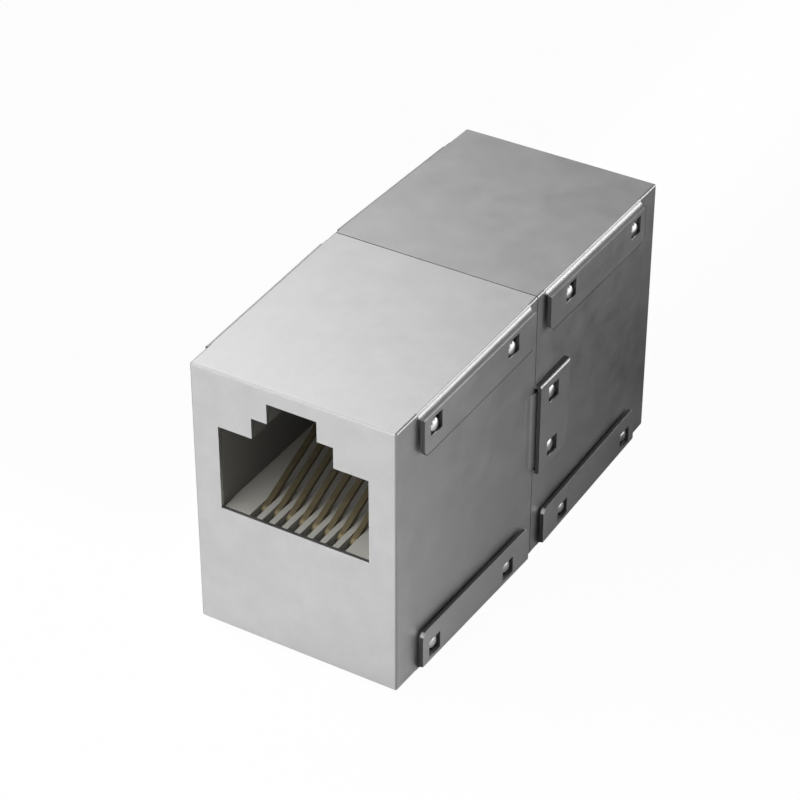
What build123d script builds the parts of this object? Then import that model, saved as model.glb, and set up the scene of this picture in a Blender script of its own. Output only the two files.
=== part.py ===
from build123d import *
import os
from math import radians, tan

# Frame: X across, Y from the front port (-Y) to the rear port (+Y), Z up.
# The origin is under the middle of the coupler, on the line where both shield halves meet.

# Folded shield halves
end_width = 16.0
end_height = 21.5
half_length = 18.4
side_flare = 0.2
height_flare = 0.4
sheet = 0.3
fold_radius = 0.16
seam_gap = 0.08
seam_half_width = end_width / 2 + side_flare
seam_height = end_height + 2 * height_flare
mid_height = seam_height / 2
end_bottom = height_flare

# Port opening of the modular plug, latch side up
floor_rise = 10.25
floor_height = end_bottom + floor_rise
plug_half_width = 5.9
plug_height = 6.8
shoulder_half_width = 3.2
shoulder_rise = 1.65
latch_half_width = 1.95
latch_rise = 1.6
plug_depth = 12.5
lead_in = 0.1
plug_top = floor_height + plug_height
shoulder_top = plug_top + shoulder_rise
latch_top = shoulder_top + latch_rise

# Snap tabs that fold from the top and bottom panels over the side panels
tab_stand_off = 0.2
tab_near = 1.1
tab_far = 15.75
tab_reach = 3.4
tab_corner = 0.6
score_width = 0.14
score_depth = 0.1
window_width = 1.45
window_height = 1.4
window_drop = 1.5
window_places = (4.1, 14.2)

# Pressed dimples that the tab windows catch on
dimple_radius = 0.58
dimple_height = 0.47
dimple_shift = 0.2
dimple_wall = 0.26
dimple_sides = 12
dimple_skirt = 0.35
dimple_crown_radius = 0.4

# Raised pocket of one half and the tongue of the other half that slides into it
pocket_length = 4.4
pocket_half_height = 3.8
pocket_raise = sheet + tab_stand_off
pocket_edge = 0.22
pocket_window_place = 1.94
pocket_window_half_pitch = 2.35
tongue_clearance = 0.06
tongue_side_play = 0.25
tongue_reach = 3.7
tongue_joggle = 0.6
tongue_corner = 0.5
tongue_dimple_radius = 0.52
tongue_dimple_height = 0.33
tongue_dimple_shift = 0.12

# Moulded jack housing
fit_gap = 0.05
housing_depth = 16.2
housing_corner = 0.5
front_wall = 1.05
lip_depth = 1.9
latch_pocket_depth = 9.4
chamber_half_width = 6.45
rail_half_width = 5.65
back_wall = 1.6
core_half_width = 5.9
core_rise = 1.6
core_height = 7.75
core_bottom = floor_height + core_rise
core_top = core_bottom + core_height

# Circuit board that links both jacks
board_bottom = 3.1
board_thickness = 1.0
board_half_width = chamber_half_width - 0.1
board_end_gap = 0.5
board_half_length = half_length - sheet - fit_gap - front_wall - board_end_gap
board_corner = 0.8
board_top = board_bottom + board_thickness
pin_hole = 0.75
pad_sides = 8

# Sprung contacts and the carrier that is moulded round them
contact_count = 8
contact_pitch = 1.016
contact_width = 0.42
contact_thickness = 0.3
contact_angle = 22.0
contact_bend = 0.5
contact_depth = 1.2
contact_run_height = floor_height - contact_depth
knee_bend = 3.0
tail_length = 1.0
hairpin_place = 2.15
knee_place = 9.8
contact_end_place = 12.8
knee_slope = 6.0
tail_end = board_bottom - tail_length
tail_rows = (10.4, 12.94)
carrier_thickness = 1.65
comb_slot = 0.56
comb_depth = 3.5
groove_depth = 0.7
groove_low = 2.6
groove_high = 5.8
leg_front = 9.4
carrier_end = 13.5
solder_radius = 0.6
solder_drop = 0.55
solder_foot = 0.12
solder_neck = 0.27

front_face = -half_length
# How far every cutting block runs past the face that it opens
overrun = 1.0


def flare_at(distance):
    """Share of the flare that is left at a distance from the seam."""
    return 1 - distance / half_length


def half_width_at(distance):
    return end_width / 2 + side_flare * flare_at(distance)


def top_at(distance):
    return mid_height + end_height / 2 + height_flare * flare_at(distance)


def body_section(distance, inset):
    """Rectangular section of the flared body at a distance from the seam."""
    width = 2 * (half_width_at(distance) - inset)
    height = 2 * (top_at(distance) - mid_height - inset)
    return Plane.XZ.offset(distance) * (Pos(0, mid_height) * Rectangle(width, height))


def box_between(low, high):
    """Block between two opposite corners."""
    size = [b - a for a, b in zip(low, high)]
    centre = [(a + b) / 2 for a, b in zip(low, high)]
    return Pos(*centre) * Box(*size)


def port_profile():
    """Outline of the stepped plug opening, in the plane of the end face."""
    steps = (
        (plug_half_width, floor_height, plug_top),
        (shoulder_half_width, plug_top, shoulder_top),
        (latch_half_width, shoulder_top, latch_top),
    )
    outline = Sketch()
    for half_width, low, high in steps:
        outline += Pos(0, (low + high) / 2) * Rectangle(2 * half_width, high - low)
    return outline


def flared_shell():
    """Thin box of one half: end panel, top, bottom and side panels, with a rounded sill at the port."""
    shell = loft([body_section(seam_gap / 2, 0), body_section(half_length, 0)])
    end_edges = shell.faces().sort_by(Axis.Y)[0].edges()
    long_edges = shell.edges().filter_by(lambda e: abs(e.center().Y - front_face / 2) < overrun)
    shell = fillet(list(end_edges) + list(long_edges), fold_radius)
    shell -= loft([body_section(-overrun, sheet), body_section(half_length - sheet, sheet)])
    opening = Plane.XZ.offset(half_length + overrun) * port_profile()
    shell -= extrude(opening, amount=-2 * overrun - sheet)
    sill = [
        e for e in shell.edges().filter_by(Axis.X)
        if abs(e.center().Z - floor_height) < fit_gap and abs(e.center().Y - front_face) < fit_gap
    ]
    return fillet(sill, lead_in)


def along_edge(profile, far, near):
    """Extrudes a profile, drawn at the far end, along the flared upper right edge."""
    step = Vector(half_width_at(near) - half_width_at(far), far - near, top_at(near) - top_at(far))
    return extrude(profile, amount=step.length, dir=step)


def edge_plane(distance):
    """Plane across the upper right edge: X outwards, Y down the side."""
    corner = (half_width_at(distance), -distance, top_at(distance))
    return Plane(origin=corner, x_dir=(1, 0, 0), z_dir=(0, 1, 0))


def snap_tab():
    """Tab on the upper right edge: a bend, a flat skirt with rounded free corners, two windows."""
    outside = tab_stand_off + sheet
    with BuildSketch(edge_plane(tab_far)) as section:
        with BuildLine():
            Line((-2 * sheet, 0), (0, 0))
            RadiusArc((0, 0), (outside, outside), outside)
            Line((outside, outside), (outside, tab_reach))
            Line((outside, tab_reach), (tab_stand_off, tab_reach))
            Line((tab_stand_off, tab_reach), (tab_stand_off, outside))
            RadiusArc((tab_stand_off, outside), (0, sheet), -tab_stand_off)
            Line((0, sheet), (-2 * sheet, sheet))
            Line((-2 * sheet, sheet), (-2 * sheet, 0))
        make_face()
    tab = along_edge(section.sketch, tab_far, tab_near)
    free_corners = tab.edges().filter_by(Axis.X).group_by(Axis.Z)
    lowest = [e for group in free_corners[:3] for e in group if e.center().X > half_width_at(tab_far)]
    tab = fillet(lowest[:2], tab_corner)
    for place in window_places:
        centre = (half_width_at(place) + outside, -place, top_at(place) - window_drop)
        tab -= Pos(*centre) * Box(4 * outside, window_width, window_height)
    return tab


def score_line():
    """Shallow V along the fold of the tab."""
    with BuildSketch(edge_plane(tab_far)) as section:
        with BuildLine():
            Polyline(
                (-score_width / 2, -score_depth / 2),
                (score_width / 2, -score_depth / 2),
                (0, score_depth),
                close=True,
            )
        make_face()
    return along_edge(section.sketch, tab_far, tab_near)


def bevelled_prism(radius, sides, height, straight, inset):
    """Prism on the plane Z = 0: straight sides at the foot, bevelled inwards above them."""
    prism = extrude(RegularPolygon(radius, sides), amount=height)
    top = prism.faces().sort_by(Axis.Z)[-1]
    return chamfer(top.edges(), length=inset, length2=height - straight, reference=top)


def crown(radius, height, base):
    """Dimple on the plane X = 0 in flat facets: a skirt, a sloped shoulder and a flat crown."""
    straight = base + height * dimple_skirt
    inset = radius * (1 - dimple_crown_radius)
    return Plane.YZ.offset(-base) * bevelled_prism(radius, dimple_sides, base + height, straight, inset)


def press(radius, height):
    """Bump and hollow of one dimple pressed out along +X from the plane X = 0."""
    bump = crown(radius, height, sheet / 2)
    inside = Plane.YZ.offset(height - dimple_wall) * RegularPolygon(radius - dimple_wall, dimple_sides)
    return bump, extrude(inside, amount=-2 * sheet)


def four_corners(solid):
    """The solid at the upper right edge and its three mirror images."""
    upper = [solid, mirror(solid, about=Plane.YZ)]
    lower = [mirror(item, about=Plane.XY.offset(mid_height)) for item in upper]
    return upper + lower


def tongue():
    """Tongue on the right side panel: it steps outwards and reaches across the seam."""
    outer = seam_half_width + pocket_raise - sheet - tongue_clearance
    panel = half_width_at(tongue_joggle)
    with BuildSketch(Plane.XY) as section:
        with BuildLine():
            Polyline(
                (panel - sheet, -2 * tongue_joggle),
                (panel, -2 * tongue_joggle),
                (panel, -tongue_joggle),
                (outer, -seam_gap),
                (outer, tongue_reach),
                (outer - sheet, tongue_reach),
                (outer - sheet, -seam_gap),
                (panel - sheet, -tongue_joggle),
                close=True,
            )
        make_face()
    half_height = pocket_half_height - sheet - tongue_side_play
    strip = extrude(Pos(0, 0, mid_height - half_height) * section.sketch, amount=2 * half_height)
    tips = strip.edges().filter_by(Axis.X).group_by(Axis.Y)[-1]
    strip = fillet(tips, tongue_corner)
    bump, hollow = press(tongue_dimple_radius, tongue_dimple_height)
    for side in (-1, 1):
        place = Pos(
            outer,
            pocket_window_place - tongue_dimple_shift,
            mid_height + side * pocket_window_half_pitch,
        )
        strip += place * bump
        strip -= place * hollow
    return strip


def pocket_walls():
    """Raised pocket on the left side panel, open towards the seam, and the space inside it."""
    inner_face = seam_half_width - 2 * sheet
    outer_face = seam_half_width + pocket_raise
    body = box_between(
        (-outer_face, -pocket_length, mid_height - pocket_half_height),
        (-seam_half_width + sheet / 2, -seam_gap / 2, mid_height + pocket_half_height),
    )
    outer_edges = body.faces().sort_by(Axis.X)[0].edges()
    rim = [e for e in outer_edges if e.center().Y < -seam_gap]
    body = fillet(rim, pocket_edge)
    space = box_between(
        (-outer_face + sheet, -pocket_length + sheet, mid_height - pocket_half_height + sheet),
        (-inner_face, sheet, mid_height + pocket_half_height - sheet),
    )
    windows = [
        Pos(-outer_face, -pocket_window_place, mid_height + side * pocket_window_half_pitch)
        * Box(4 * sheet, window_width, window_height)
        for side in (-1, 1)
    ]
    return body, space, windows


def shield():
    """One folded half with its port towards -Y."""
    half = flared_shell()
    bump, hollow = press(dimple_radius, dimple_height)
    for place in window_places:
        height = top_at(place) - window_drop - dimple_shift
        seat = Pos(half_width_at(place), -place, height)
        for item in four_corners(seat * bump):
            half += item
        for item in four_corners(seat * hollow):
            half -= item
    body, space, windows = pocket_walls()
    half += body
    half -= space
    for window in windows:
        half -= window
    half += tongue()
    for tab in four_corners(snap_tab()):
        half += tab
    for groove in four_corners(score_line()):
        half -= groove
    return half


def jack_housing():
    """Moulded housing behind the front port: plug cavity, latch pocket, chamber and board rails."""
    half_width = end_width / 2 - sheet - fit_gap
    bottom = end_bottom + sheet
    top = end_bottom + end_height - sheet - fit_gap
    face = front_face + sheet + fit_gap
    rear = face + housing_depth
    body = box_between((-half_width, face, bottom), (half_width, rear, top))
    body = fillet(body.edges().filter_by(Axis.Y), housing_corner)

    cavity_end = front_face + plug_depth
    shoulders_low = plug_top - overrun
    body -= box_between(
        (-plug_half_width, face - overrun, floor_height),
        (plug_half_width, cavity_end, plug_top),
    )
    body -= box_between(
        (-shoulder_half_width, face - overrun, shoulders_low),
        (shoulder_half_width, cavity_end, shoulder_top),
    )
    body -= box_between(
        (-latch_half_width, face - overrun, shoulders_low),
        (latch_half_width, front_face + lip_depth + overrun, latch_top),
    )
    body -= box_between(
        (-shoulder_half_width, front_face + sheet + lip_depth, shoulders_low),
        (shoulder_half_width, front_face + latch_pocket_depth, latch_top),
    )

    chamber_face = face + front_wall
    carrier_bottom = floor_height - carrier_thickness
    body -= box_between(
        (-chamber_half_width, chamber_face, board_bottom),
        (chamber_half_width, rear + overrun, floor_height),
    )
    body -= box_between(
        (-rail_half_width, chamber_face, bottom - overrun),
        (rail_half_width, rear + overrun, board_bottom),
    )
    body -= box_between(
        (-plug_half_width, face - overrun, carrier_bottom),
        (plug_half_width, chamber_face, floor_height),
    )
    body -= box_between(
        (-core_half_width, cavity_end + back_wall, core_bottom),
        (core_half_width, rear + overrun, core_top),
    )
    for x in contact_places():
        body -= box_between(
            (x - comb_slot / 2, cavity_end - overrun, floor_height + groove_low),
            (x + comb_slot / 2, cavity_end + groove_depth, floor_height + groove_high),
        )
    return body


def contact_places():
    first = -(contact_count - 1) / 2 * contact_pitch
    return [first + i * contact_pitch for i in range(contact_count)]


def contact(index):
    """Sprung contact: solder tail, run under the floor, hairpin at the mouth, beam into the cavity."""
    apex = hairpin_place - contact_bend / tan(radians(contact_angle / 2))
    knee_height = contact_run_height + (knee_place - apex) * tan(radians(contact_angle))
    end_height_here = knee_height + (contact_end_place - knee_place) * tan(radians(knee_slope))
    tail = tail_rows[index % 2]
    path = FilletPolyline(
        (0, front_face + tail, contact_run_height),
        (0, front_face + apex, contact_run_height),
        (0, front_face + knee_place, knee_height),
        (0, front_face + contact_end_place, end_height_here),
        radius=[contact_bend, knee_bend],
    )
    start = Plane(origin=path @ 0, x_dir=(1, 0, 0), z_dir=path % 0)
    strip = sweep(start * Rectangle(contact_width, contact_thickness), path=path)
    half = contact_thickness / 2
    strip += box_between(
        (-contact_width / 2, front_face + tail - half, tail_end),
        (contact_width / 2, front_face + tail + half, contact_run_height + half),
    )
    return Pos(contact_places()[index], 0, 0) * strip


def contact_carrier(contacts):
    """Carrier moulded round the contacts: comb at the mouth, cavity floor and a leg on the board."""
    mouth = front_face + sheet + fit_gap
    chamber_face = mouth + front_wall + fit_gap
    low = floor_height - carrier_thickness
    end = front_face + carrier_end
    half_width = chamber_half_width - fit_gap
    body = box_between((-half_width, chamber_face, low), (half_width, end, floor_height))
    comb_half_width = plug_half_width - fit_gap
    body += box_between((-comb_half_width, mouth, low), (comb_half_width, chamber_face, floor_height))
    body += box_between(
        (-comb_half_width, front_face + leg_front, board_top),
        (comb_half_width, end, low),
    )
    for x in contact_places():
        body -= box_between(
            (x - comb_slot / 2, mouth - overrun, low - overrun),
            (x + comb_slot / 2, front_face + comb_depth, floor_height + overrun),
        )
    for item in contacts:
        body -= item
    return body


def tail_places():
    """Every solder tail of both jacks, as X and Y."""
    front = [(x, front_face + tail_rows[i % 2]) for i, x in enumerate(contact_places())]
    rear = [(-x, -y) for x, y in front]
    return front + rear


def circuit_board():
    board = extrude(
        Pos(0, 0, board_bottom)
        * RectangleRounded(2 * board_half_width, 2 * board_half_length, board_corner),
        amount=board_thickness,
    )
    hole = extrude(RegularPolygon(pin_hole / 2, pad_sides), amount=2 * board_thickness, both=True)
    for x, y in tail_places():
        board -= Pos(x, y, board_bottom) * hole
    return board


def solder_joints():
    """Solder round every tail: a plug that fills the hole and a bevelled foot on the eight-sided pad."""
    joint = Rot(180, 0, 0) * bevelled_prism(solder_radius, pad_sides, solder_drop, solder_foot, solder_neck)
    joint += extrude(RegularPolygon(pin_hole / 2, pad_sides), amount=board_thickness)
    joint -= Box(contact_width, contact_thickness, 4 * board_thickness)
    return Compound([Pos(x, y, board_bottom) * joint for x, y in tail_places()])


def turned(solid):
    """The same piece at the rear port."""
    return solid.rotate(Axis.Z, 180)


os.makedirs("parts", exist_ok=True)
contacts = [contact(i) for i in range(contact_count)]
pieces = {
    "shield": shield(),
    "jack_housing": jack_housing(),
    "contact_carrier": contact_carrier(contacts),
}
for i, item in enumerate(contacts):
    pieces[f"contact_{i + 1}"] = item
for name, solid in pieces.items():
    export_step(solid, f"parts/front_{name}.step")
    export_step(turned(solid), f"parts/rear_{name}.step")
export_step(circuit_board(), "parts/circuit_board.step")
export_step(solder_joints(), "parts/solder_joints.step")
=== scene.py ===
import math

import bmesh
import bpy
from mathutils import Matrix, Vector


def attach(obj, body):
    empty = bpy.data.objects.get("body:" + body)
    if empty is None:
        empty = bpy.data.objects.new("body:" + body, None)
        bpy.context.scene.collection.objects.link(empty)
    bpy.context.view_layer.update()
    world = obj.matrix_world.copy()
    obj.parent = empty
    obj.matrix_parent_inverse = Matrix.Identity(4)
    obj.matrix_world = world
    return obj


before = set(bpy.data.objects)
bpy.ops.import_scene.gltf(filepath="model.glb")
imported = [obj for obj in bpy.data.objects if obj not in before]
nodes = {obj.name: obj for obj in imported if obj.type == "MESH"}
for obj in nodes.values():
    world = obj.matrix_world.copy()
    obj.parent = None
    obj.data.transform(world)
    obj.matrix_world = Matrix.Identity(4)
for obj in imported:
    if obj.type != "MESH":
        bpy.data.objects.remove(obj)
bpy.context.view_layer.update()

# Contacts
# Eight sprung wires a side, stamped from phosphor bronze strip and gold plated over nickel.
# They are bent to a hairpin at the mouth and moulded into the carrier under the floor.
MM = 0.001


class Term:
    """A shader socket in a Python expression: each operator adds its Math node."""

    def __init__(self, graph, socket):
        self.graph = graph
        self.socket = socket

    def math(self, operation, *values):
        inputs = dict(enumerate(values))
        return self.graph.node("ShaderNodeMath", {"operation": operation}, inputs)("Value")

    def __add__(self, other):
        return self.math("ADD", self, other)

    def __radd__(self, other):
        return self.math("ADD", other, self)

    def __sub__(self, other):
        return self.math("SUBTRACT", self, other)

    def __rsub__(self, other):
        return self.math("SUBTRACT", other, self)

    def __mul__(self, other):
        return self.math("MULTIPLY", self, other)

    def __rmul__(self, other):
        return self.math("MULTIPLY", other, self)

    def __truediv__(self, other):
        return self.math("DIVIDE", self, other)

    def __gt__(self, other):
        return self.math("GREATER_THAN", self, other)

    def __lt__(self, other):
        return self.math("LESS_THAN", self, other)

    def __abs__(self):
        return self.math("ABSOLUTE", self)

    def at_least(self, floor):
        return self.math("MAXIMUM", self, floor)

    def clamped(self):
        return self.math("MINIMUM", self.at_least(0.0), 1.0)


class Graph:
    """A node tree that is built by calls: `node` adds any node and gives its outputs by name."""

    def __init__(self, tree):
        self.tree = tree
        self.tree.nodes.clear()

    def node(self, kind, settings, values):
        made = self.tree.nodes.new(kind)
        for key, value in settings.items():
            setattr(made, key, value)
        for key, value in values.items():
            if isinstance(value, Term):
                self.tree.links.new(value.socket, made.inputs[key])
            else:
                made.inputs[key].default_value = value
        return lambda output: Term(self, made.outputs[output])


class Finish(Graph):
    """A node material."""

    def __init__(self, name):
        self.material = bpy.data.materials.new(name)
        self.material.use_nodes = True
        super().__init__(self.material.node_tree)

    def place(self):
        """Object coordinates, as a vector and as X, Y and Z in millimetres."""
        where = self.node("ShaderNodeTexCoord", {}, {})("Object")
        split = self.node("ShaderNodeSeparateXYZ", {}, {"Vector": where})
        return where, [split(axis) / MM for axis in "XYZ"]

    def facing(self):
        """The surface's own direction, as X, Y and Z."""
        normal = self.node("ShaderNodeNewGeometry", {}, {})("True Normal")
        split = self.node("ShaderNodeSeparateXYZ", {}, {"Vector": normal})
        return [split(axis) for axis in "XYZ"]

    def stretched(self, where, scale):
        return self.node("ShaderNodeMapping", {}, {"Vector": where, "Scale": scale})("Vector")

    def noise(self, where, size, detail=2.0, roughness=0.5):
        """Cloudy noise from 0 to 1 whose patches are about `size` millimetres across."""
        values = {"Scale": 1 / (size * MM), "Detail": detail, "Roughness": roughness}
        return self.node("ShaderNodeTexNoise", {}, {"Vector": where, **values})("Fac")

    def between(self, mask, low, high):
        """Colour that runs from `low` to `high` with the mask."""
        # The colour sockets go by number, since sockets of other kinds share their names.
        colours = {"Factor": mask, 6: low, 7: high}
        return self.node("ShaderNodeMix", {"data_type": "RGBA"}, colours)(2)

    def bump(self, height, depth):
        """Normal of a relief whose full height is `depth` millimetres."""
        values = {"Height": height, "Distance": depth * MM}
        return self.node("ShaderNodeBump", {}, values)("Normal")

    def surface(self, values):
        shader = self.node("ShaderNodeBsdfPrincipled", {}, values)("BSDF")
        self.node("ShaderNodeOutputMaterial", {}, {"Surface": shader})
        return self.material


def dress(obj, material):
    obj.data.materials.clear()
    obj.data.materials.append(material)


def grey(level):
    return (level, level, level, 1.0)


def gold_plating():
    finish = Finish("gold_plated_wire")
    where, _ = finish.place()
    tarnish = finish.noise(where, 0.9, 3.0)
    rolling = finish.noise(finish.stretched(where, (6.0, 0.6, 0.6)), 0.15)
    colour = finish.between(tarnish, (0.15, 0.124, 0.072, 1.0), (0.25, 0.208, 0.126, 1.0))
    return finish.surface(
        {
            "Base Color": colour,
            "Metallic": 0.85,
            "Roughness": 0.46 + 0.14 * tarnish,
            "Normal": finish.bump(rolling, 0.006),
        }
    )


plating = gold_plating()
for name, obj in nodes.items():
    if "_contact_" in name and "carrier" not in name:
        dress(obj, plating)

# Contact carriers
# One moulding in glass filled nylon round the eight contacts of each jack.
# Its front is the comb that guides the wires, its top is the floor of the plug cavity.


def fine_moulding(name, dark, light, grain, rough):
    """Moulded plastic with faint flow clouds and spark eroded grain of `grain` millimetres."""
    finish = Finish(name)
    where, _ = finish.place()
    flow = finish.noise(finish.stretched(where, (1.0, 0.5, 1.0)), 4.0, 3.0)
    pores = finish.noise(where, grain, 2.0)
    return finish.surface(
        {
            "Base Color": finish.between(flow, dark, light),
            "Roughness": rough + 0.12 * pores,
            "Normal": finish.bump(pores, 0.012),
        }
    )


PALE_NYLON = ((0.385, 0.375, 0.345, 1.0), (0.465, 0.455, 0.42, 1.0))
carrier_nylon = fine_moulding("carrier_nylon", *PALE_NYLON, grain=0.12, rough=0.42)
for side in ("front", "rear"):
    dress(nodes[f"{side}_contact_carrier"], carrier_nylon)

# Jack housings
# Each jack's body is one moulding with the stepped plug cavity, its latch channel and the
# chamber behind the floor. It slides into its shield half from the seam.
# Painted shade: the nylon is given a dark colour for the shade on the walls of the plug cavity.
SHADED_HOUSING_NYLON = ((0.113, 0.111, 0.102, 1.0), (0.154, 0.151, 0.14, 1.0))
housing_nylon = fine_moulding("housing_nylon", *SHADED_HOUSING_NYLON, grain=0.12, rough=0.45)
for side in ("front", "rear"):
    dress(nodes[f"{side}_jack_housing"], housing_nylon)

# Circuit board
# Glass epoxy laminate with green solder mask that joins the contacts of both jacks in pairs.


def solder_mask():
    finish = Finish("solder_mask")
    where, _ = finish.place()
    weave = finish.noise(finish.stretched(where, (1.0, 1.0, 0.2)), 0.5, 3.0)
    return finish.surface(
        {
            "Base Color": finish.between(weave, (0.01, 0.09, 0.03, 1.0), (0.02, 0.14, 0.05, 1.0)),
            "Roughness": 0.3 + 0.1 * weave,
            "Normal": finish.bump(weave, 0.01),
        }
    )


dress(nodes["circuit_board"], solder_mask())

# Solder joints
# Tin solder that fills each plated hole and climbs the tail in a small cone.


def tin_solder():
    finish = Finish("tin_solder")
    where, _ = finish.place()
    crystals = finish.noise(where, 0.25, 3.0)
    return finish.surface(
        {
            "Base Color": finish.between(crystals, grey(0.55), grey(0.68)),
            "Metallic": 1.0,
            "Roughness": 0.2 + 0.2 * crystals,
            "Normal": finish.bump(crystals, 0.01),
        }
    )


dress(nodes["solder_joints"], tin_solder())

# Shield halves
# Two like stampings in nickel plated sheet, folded to a box that is open at the seam.
# Their tabs snap over dimples in the side panels, and each tongue slides into a pocket.

# Sizes in millimetres, the same as in the part's source.
MID_HEIGHT = 11.15
END_HALF_WIDTH = 8.0
HALF_LENGTH = 18.4
SIDE_FLARE = 0.2
HEIGHT_FLARE = 0.4
FLOOR_HEIGHT = 10.65
TAB_REACH = 3.4
TAB_OUTSIDE = 0.5
TAB_MIDDLE = 8.425
TAB_HALF_LENGTH = 7.325
TAB_CORNER = 0.6
POCKET_LENGTH = 4.4
POCKET_HALF_HEIGHT = 3.7
WINDOW_PLACES = (4.1, 14.2)
WINDOW_DROP = 1.5

# Places and widths of the painted shade lines at the gaps and folds of the sheet, in millimetres.
CREASE_INSET = 0.03
CREASE_HALF_WIDTH = 0.045
POCKET_LINE_HALF_WIDTH = 0.06
TAB_BEND = 0.45
TAB_START = 1.4
LIP_STAND = 0.3
SILL_DROP = 0.06
SILL_HALF_WIDTH = 0.08
SILL_DEPTH = 0.12
FOLD_DEPTH = 0.2
WINDOW_HALF_SIZE = 0.9
JOGGLE_LENGTH = 0.65
ON_PANEL = 0.02

# The painted shade line round a tab's corner, in square millimetres from the middle of that
# corner.
RIM_SQUARE = 0.325
RIM_BAND = 0.045

# A face looks straight along an axis where that part of its direction is over this.
STRAIGHT = 0.9


def nickel_sheet():
    """Matt nickel with cloudy haze and rolling marks, and painted shade at edges, gaps and folds.
    """
    finish = Finish("nickel_plated_sheet")
    where, (x, y, z) = finish.place()
    _, ny, nz = finish.facing()
    clouds = finish.noise(where, 1.9, 6.0, 0.65)
    streaks = finish.noise(finish.stretched(where, (1.0, 0.12, 1.0)), 0.5, 2.0)
    grain = finish.noise(where, 0.08, 2.0)

    # Distances from the seam, out of the side panel, and down from the top or up from the bottom.
    along = abs(y)
    panel = END_HALF_WIDTH + SIDE_FLARE - SIDE_FLARE / HALF_LENGTH * along
    out = abs(x) - panel
    down = MID_HEIGHT - HEIGHT_FLARE / HALF_LENGTH * along - abs(z - MID_HEIGHT)

    # Painted shade on the cut edges of the tabs and the pocket, and on the step of the tongue at
    # the seam.
    end_cut = (out > 0.08) * (abs(ny) > STRAIGHT)
    between_faces = (out > ON_PANEL) * (out < TAB_OUTSIDE - 0.07)
    top_cut = between_faces * (abs(nz) > STRAIGHT) * (down > 1.0)
    step = (out > 0.005) * (abs(ny) > 0.15) * (abs(ny) < STRAIGHT)
    joggle = step * (1.0 - along / JOGGLE_LENGTH).clamped()

    # Painted shade in the gap under the free edge of each upper tab and of the pocket, as the
    # squared distance from the middle of the tab's rounded corners.
    from_corner = abs(along - TAB_MIDDLE) - TAB_HALF_LENGTH + TAB_CORNER
    below_corner = down - TAB_REACH + TAB_CORNER
    sideways, downwards = from_corner.at_least(0.0), below_corner.at_least(0.0)
    reach = sideways * sideways + downwards * downwards
    corner_line = abs(reach - RIM_SQUARE) < RIM_BAND
    rim = corner_line * (down > TAB_BEND) * (along > TAB_START) * (z > MID_HEIGHT)
    pocket_line = abs(along - POCKET_LENGTH) < POCKET_LINE_HALF_WIDTH
    pocket_rim = pocket_line * (abs(z - MID_HEIGHT) < POCKET_HALF_HEIGHT)
    lip = (out > LIP_STAND) * (rim + pocket_rim)

    # Painted shade in the crease where each tab leaves the top or the bottom, and on the fold and
    # the sill of the end panel, where the darker colour dims their highlights.
    by_tab = abs(along - TAB_MIDDLE) < TAB_HALF_LENGTH
    crease = (abs(out + CREASE_INSET) < CREASE_HALF_WIDTH) * (abs(nz) > 0.6) * by_tab
    slanted = (abs(ny) > 0.1) * (abs(ny) < 0.97)
    at_sill = abs(z - FLOOR_HEIGHT + SILL_DROP) < SILL_HALF_WIDTH
    sill = slanted * (along > HALF_LENGTH - SILL_DEPTH) * at_sill
    fold = slanted * (along > HALF_LENGTH - FOLD_DEPTH)

    # Shade on the side panel behind the windows.
    behind = 0.0
    for place in WINDOW_PLACES:
        beside = (abs(along - place) < WINDOW_HALF_SIZE) * (abs(out) < ON_PANEL)
        behind = behind + beside * (abs(down - WINDOW_DROP) < WINDOW_HALF_SIZE)

    dark = (end_cut + top_cut + joggle + lip + crease + behind).clamped()
    plate = finish.between(clouds, grey(0.54), grey(0.67))
    # Painted shade: the masks darken the plating, and the fold and the sill to dim their
    # highlights.
    plate_in_painted_shade = finish.between(dark, plate, grey(0.12))
    plate_in_painted_shade = finish.between(fold, plate_in_painted_shade, grey(0.34))
    relief = 0.6 * grain + 0.4 * streaks
    return finish.surface(
        {
            "Base Color": finish.between(sill, plate_in_painted_shade, grey(0.3)),
            "Metallic": 1.0,
            "Roughness": 0.34 + 0.1 * clouds + 0.05 * streaks + 0.15 * dark,
            "Normal": finish.bump(relief, 0.002),
        }
    )


nickel = nickel_sheet()
for side in ("front", "rear"):
    dress(nodes[f"{side}_shield"], nickel)

# Dimples
# Round bumps that the press raises in the side panels and in the tongues.
# The windows of the tabs and of the pocket snap over them.


def pressed_nickel():
    """The same plating where the punch has stretched and polished it, paler as a painted
    highlight.
    """
    finish = Finish("pressed_nickel")
    where, _ = finish.place()
    clouds = finish.noise(where, 0.5, 3.0)
    grain = finish.noise(where, 0.06, 2.0)
    return finish.surface(
        {
            # The pale colour is a painted highlight on the domes.
            "Base Color": finish.between(clouds, grey(0.74), grey(0.84)),
            "Metallic": 1.0,
            "Roughness": 0.26 + 0.1 * clouds,
            "Normal": finish.bump(grain, 0.002),
        }
    )


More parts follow.
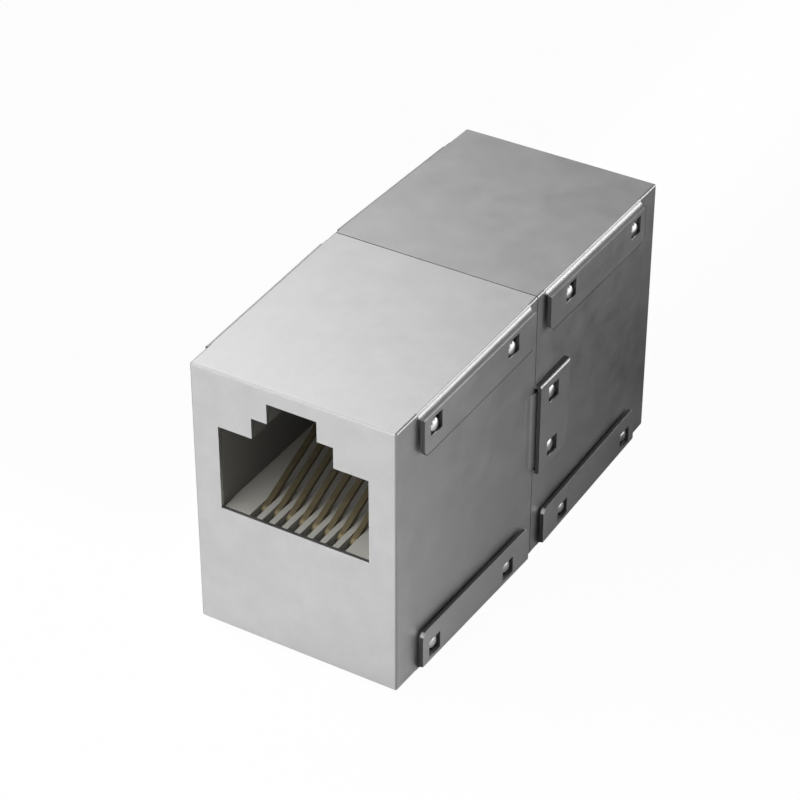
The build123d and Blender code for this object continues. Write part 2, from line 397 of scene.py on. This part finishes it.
class Generator(Graph):
    """A Geometry Nodes tree whose sizes are named inputs."""

    def __init__(self, name):
        super().__init__(bpy.data.node_groups.new(name, "GeometryNodeTree"))
        for way in ("INPUT", "OUTPUT"):
            self.tree.interface.new_socket(
                "Geometry", in_out=way, socket_type="NodeSocketGeometry"
            )
        self.identifiers = {}

    def given(self, name, kind):
        """Add a named input."""
        made = self.tree.interface.new_socket(name, in_out="INPUT", socket_type=kind)
        self.identifiers[name] = made.identifier

    def close(self, geometry, material):
        """End the tree: real geometry, shaded smooth, in one material."""
        real = self.node("GeometryNodeRealizeInstances", {}, {"Geometry": geometry})("Geometry")
        smooth = self.node("GeometryNodeSetShadeSmooth", {}, {"Geometry": real})("Geometry")
        values = {"Geometry": smooth, "Material": material}
        painted = self.node("GeometryNodeSetMaterial", {}, values)("Geometry")
        self.node("NodeGroupOutput", {}, {"Geometry": painted})

    def grown(self, name, places, values):
        """Plain mesh object that the tree makes from one point at each place, in millimetres."""
        seeds = bpy.data.meshes.new(name)
        seeds.from_pydata([Vector(place) * MM for place in places], [], [])
        obj = bpy.data.objects.new(name, seeds)
        bpy.context.scene.collection.objects.link(obj)
        modifier = obj.modifiers.new(name, "NODES")
        modifier.node_group = self.tree
        for key, value in values.items():
            modifier[self.identifiers[key]] = value
        evaluated = obj.evaluated_get(bpy.context.evaluated_depsgraph_get())
        made = bpy.data.meshes.new_from_object(evaluated)
        obj.modifiers.remove(modifier)
        obj.data = made
        return obj


def dome_generator():
    """A flattened dome at every point, turned away from the middle of the coupler."""
    made = Generator("domes")
    for name in ("Radius", "Height", "Root"):
        made.given(name, "NodeSocketFloat")
    inside = made.node("NodeGroupInput", {}, {})
    round_sizes = {"Segments": 32, "Rings": 24, "Radius": 1.0}
    ball = made.node("GeometryNodeMeshUVSphere", {}, round_sizes)("Mesh")
    sizes = {"X": inside("Radius"), "Y": inside("Radius"), "Z": inside("Height")}
    scale = made.node("ShaderNodeCombineXYZ", {}, sizes)("Vector")
    egg = made.node("GeometryNodeTransform", {}, {"Geometry": ball, "Scale": scale})("Geometry")
    where = made.node("GeometryNodeInputPosition", {}, {})("Position")
    here = made.node("ShaderNodeSeparateXYZ", {}, {"Vector": where})
    level = here("Z").at_least(0.0 - inside("Root"))
    cut_off = {"X": here("X"), "Y": here("Y"), "Z": level}
    flat = made.node("ShaderNodeCombineXYZ", {}, cut_off)("Vector")
    moved = {"Geometry": egg, "Position": flat}
    dome = made.node("GeometryNodeSetPosition", {}, moved)("Geometry")
    outwards = made.node("ShaderNodeCombineXYZ", {}, {"X": here("X")})("Vector")
    aim = {"Vector": outwards}
    turn = made.node("FunctionNodeAlignRotationToVector", {"axis": "Z"}, aim)("Rotation")
    values = {"Points": inside("Geometry"), "Instance": dome, "Rotation": turn}
    placed = made.node("GeometryNodeInstanceOnPoints", {}, values)("Instances")
    made.close(placed, pressed_nickel())
    return made


# Places and sizes in millimetres: radius and height of each dome, and how far its root goes in.
DIMPLE_SHIFT = 0.2
TONGUE_FACE = 8.34
TONGUE_DIMPLE_ALONG = 1.82
TONGUE_DIMPLE_RISE = 2.35
DOME_ROOT = 0.1
PANEL_DOME = (0.62, 0.52)
TONGUE_DOME = (0.6, 0.352)

domes = dome_generator()
panel_places = []
for place in WINDOW_PLACES:
    beside = END_HALF_WIDTH + SIDE_FLARE * (1 - place / HALF_LENGTH)
    above = MID_HEIGHT - HEIGHT_FLARE / HALF_LENGTH * place - WINDOW_DROP - DIMPLE_SHIFT
    for side in (-1, 1):
        panel_places.append((side * beside, -place, MID_HEIGHT + above))
        panel_places.append((side * beside, -place, MID_HEIGHT - above))
tongue_places = []
for rise in (-TONGUE_DIMPLE_RISE, TONGUE_DIMPLE_RISE):
    tongue_places.append((TONGUE_FACE, TONGUE_DIMPLE_ALONG, MID_HEIGHT + rise))
for half, turned in (("front", 1), ("rear", -1)):
    for kind, places, (radius, height) in (
        ("panel", panel_places, PANEL_DOME),
        ("tongue", tongue_places, TONGUE_DOME),
    ):
        turned_places = [(turned * x, turned * y, z) for x, y, z in places]
        sizes = {"Radius": radius * MM, "Height": height * MM, "Root": DOME_ROOT * MM}
        dimples = domes.grown(f"{half}_{kind}_dimples", turned_places, sizes)
        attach(dimples, "root")

# Studio
# A white table and a camera at the photograph's angle, with five soft lamps.
AZIMUTH = math.radians(31.08)
ELEVATION = math.radians(34.91)
CAMERA_PLACE = Vector((81.68, -140.16, 123.95)) * MM
FOCAL_LENGTH = 123.76
LAMP_TARGET = Vector((0.0, 0.0, 11.0)) * MM
TABLE_HALF_SIZE = 3.0
TABLE_HEIGHT = -0.01 * MM

back = Vector(
    (
        math.sin(AZIMUTH) * math.cos(ELEVATION),
        -math.cos(AZIMUTH) * math.cos(ELEVATION),
        math.sin(ELEVATION),
    )
)
camera = bpy.data.objects.new("camera", bpy.data.cameras.new("camera"))
camera.data.lens = FOCAL_LENGTH
camera.data.sensor_width = 36.0
camera.data.clip_start = 0.01
camera.data.clip_end = 20.0
camera.location = CAMERA_PLACE
camera.rotation_euler = (-back).to_track_quat("-Z", "Y").to_euler()
bpy.context.scene.collection.objects.link(camera)
bpy.context.scene.camera = camera
bpy.context.scene.view_settings.view_transform = "Standard"


def softbox(name, direction, distance, width, height, watts):
    """Area lamp that looks at the middle of the coupler from a direction."""
    lamp = bpy.data.objects.new(name, bpy.data.lights.new(name, "AREA"))
    lamp.data.shape = "RECTANGLE"
    lamp.data.size = width
    lamp.data.size_y = height
    lamp.data.energy = watts
    aim = Vector(direction).normalized()
    lamp.location = LAMP_TARGET + aim * distance
    lamp.rotation_euler = aim.to_track_quat("Z", "Y").to_euler()
    lamp.visible_camera = False
    bpy.context.scene.collection.objects.link(lamp)


# The numbers are the direction, the distance, width and height in metres, and the power.
softbox("key_lamp", (-0.5, -0.72, 0.72), 0.55, 1.0, 0.9, 5.7)
softbox("front_lamp", (0.15, -0.95, 0.3), 0.5, 0.5, 0.3, 0.45)
softbox("top_lamp", (-0.59, 0.405, 0.85), 0.4, 0.27, 0.26, 0.435)
softbox("rim_lamp", (0.62, 0.7, 0.14), 0.4, 0.35, 0.1, 0.32)
softbox("side_lamp", (0.95, 0.15, 0.25), 0.4, 0.2, 0.3, 0.24)

floor_mesh = bpy.data.meshes.new("table_top")
shape = bmesh.new()
bmesh.ops.create_grid(shape, x_segments=1, y_segments=1, size=TABLE_HALF_SIZE)
shape.to_mesh(floor_mesh)
shape.free()
for corner in floor_mesh.vertices:
    corner.co.z = TABLE_HEIGHT
table_top = bpy.data.objects.new("table_top", floor_mesh)
bpy.context.scene.collection.objects.link(table_top)


def white_table():
    """White board in shade round the coupler; camera and far reflections see plain white."""
    finish = Finish("white_table")
    _, (x, y, _) = finish.place()
    rays = finish.node("ShaderNodeLightPath", {}, {})
    # The shade begins under the coupler, grows to the rear at the right, and is lighter at
    # the left.
    right_shade = ((x + 6.0) / 12.0).clamped() * ((y + 24.0) / 49.0).clamped()
    left_shade = ((-12.0 - x) / 8.0).clamped() * ((y + 16.0) / 8.0).clamped()
    shade = (right_shade + 0.7 * left_shade).clamped()

    # Beyond 42 mm at the right the metal mirrors the white background.
    far = ((x - 42.0) / 20.0).clamped()
    paint = finish.between(shade, grey(0.8), grey(0.05))
    board = finish.node("ShaderNodeBsdfDiffuse", {}, {"Color": paint})("BSDF")
    glow = {"Color": grey(1.0), "Strength": 1.0}
    white = finish.node("ShaderNodeEmission", {}, glow)("Emission")
    seen = rays("Is Camera Ray") * 0.97 + rays("Is Glossy Ray") * far
    mixed = finish.node("ShaderNodeMixShader", {}, {0: seen, 1: board, 2: white})("Shader")
    finish.node("ShaderNodeOutputMaterial", {}, {"Surface": mixed})
    return finish.material


dress(table_top, white_table())

world = bpy.data.worlds.new("studio_air")
world.use_nodes = True
bpy.context.scene.world = world

# The camera sees white air, and a dim grey reaches the coupler.
air = Graph(world.node_tree)
to_camera = air.node("ShaderNodeLightPath", {}, {})("Is Camera Ray")
dim = air.node("ShaderNodeBackground", {}, {"Color": grey(0.16)})("Background")
bright = air.node("ShaderNodeBackground", {}, {"Color": grey(1.0)})("Background")
air_light = air.node("ShaderNodeMixShader", {}, {0: to_camera, 1: dim, 2: bright})("Shader")
air.node("ShaderNodeOutputWorld", {}, {"Surface": air_light})
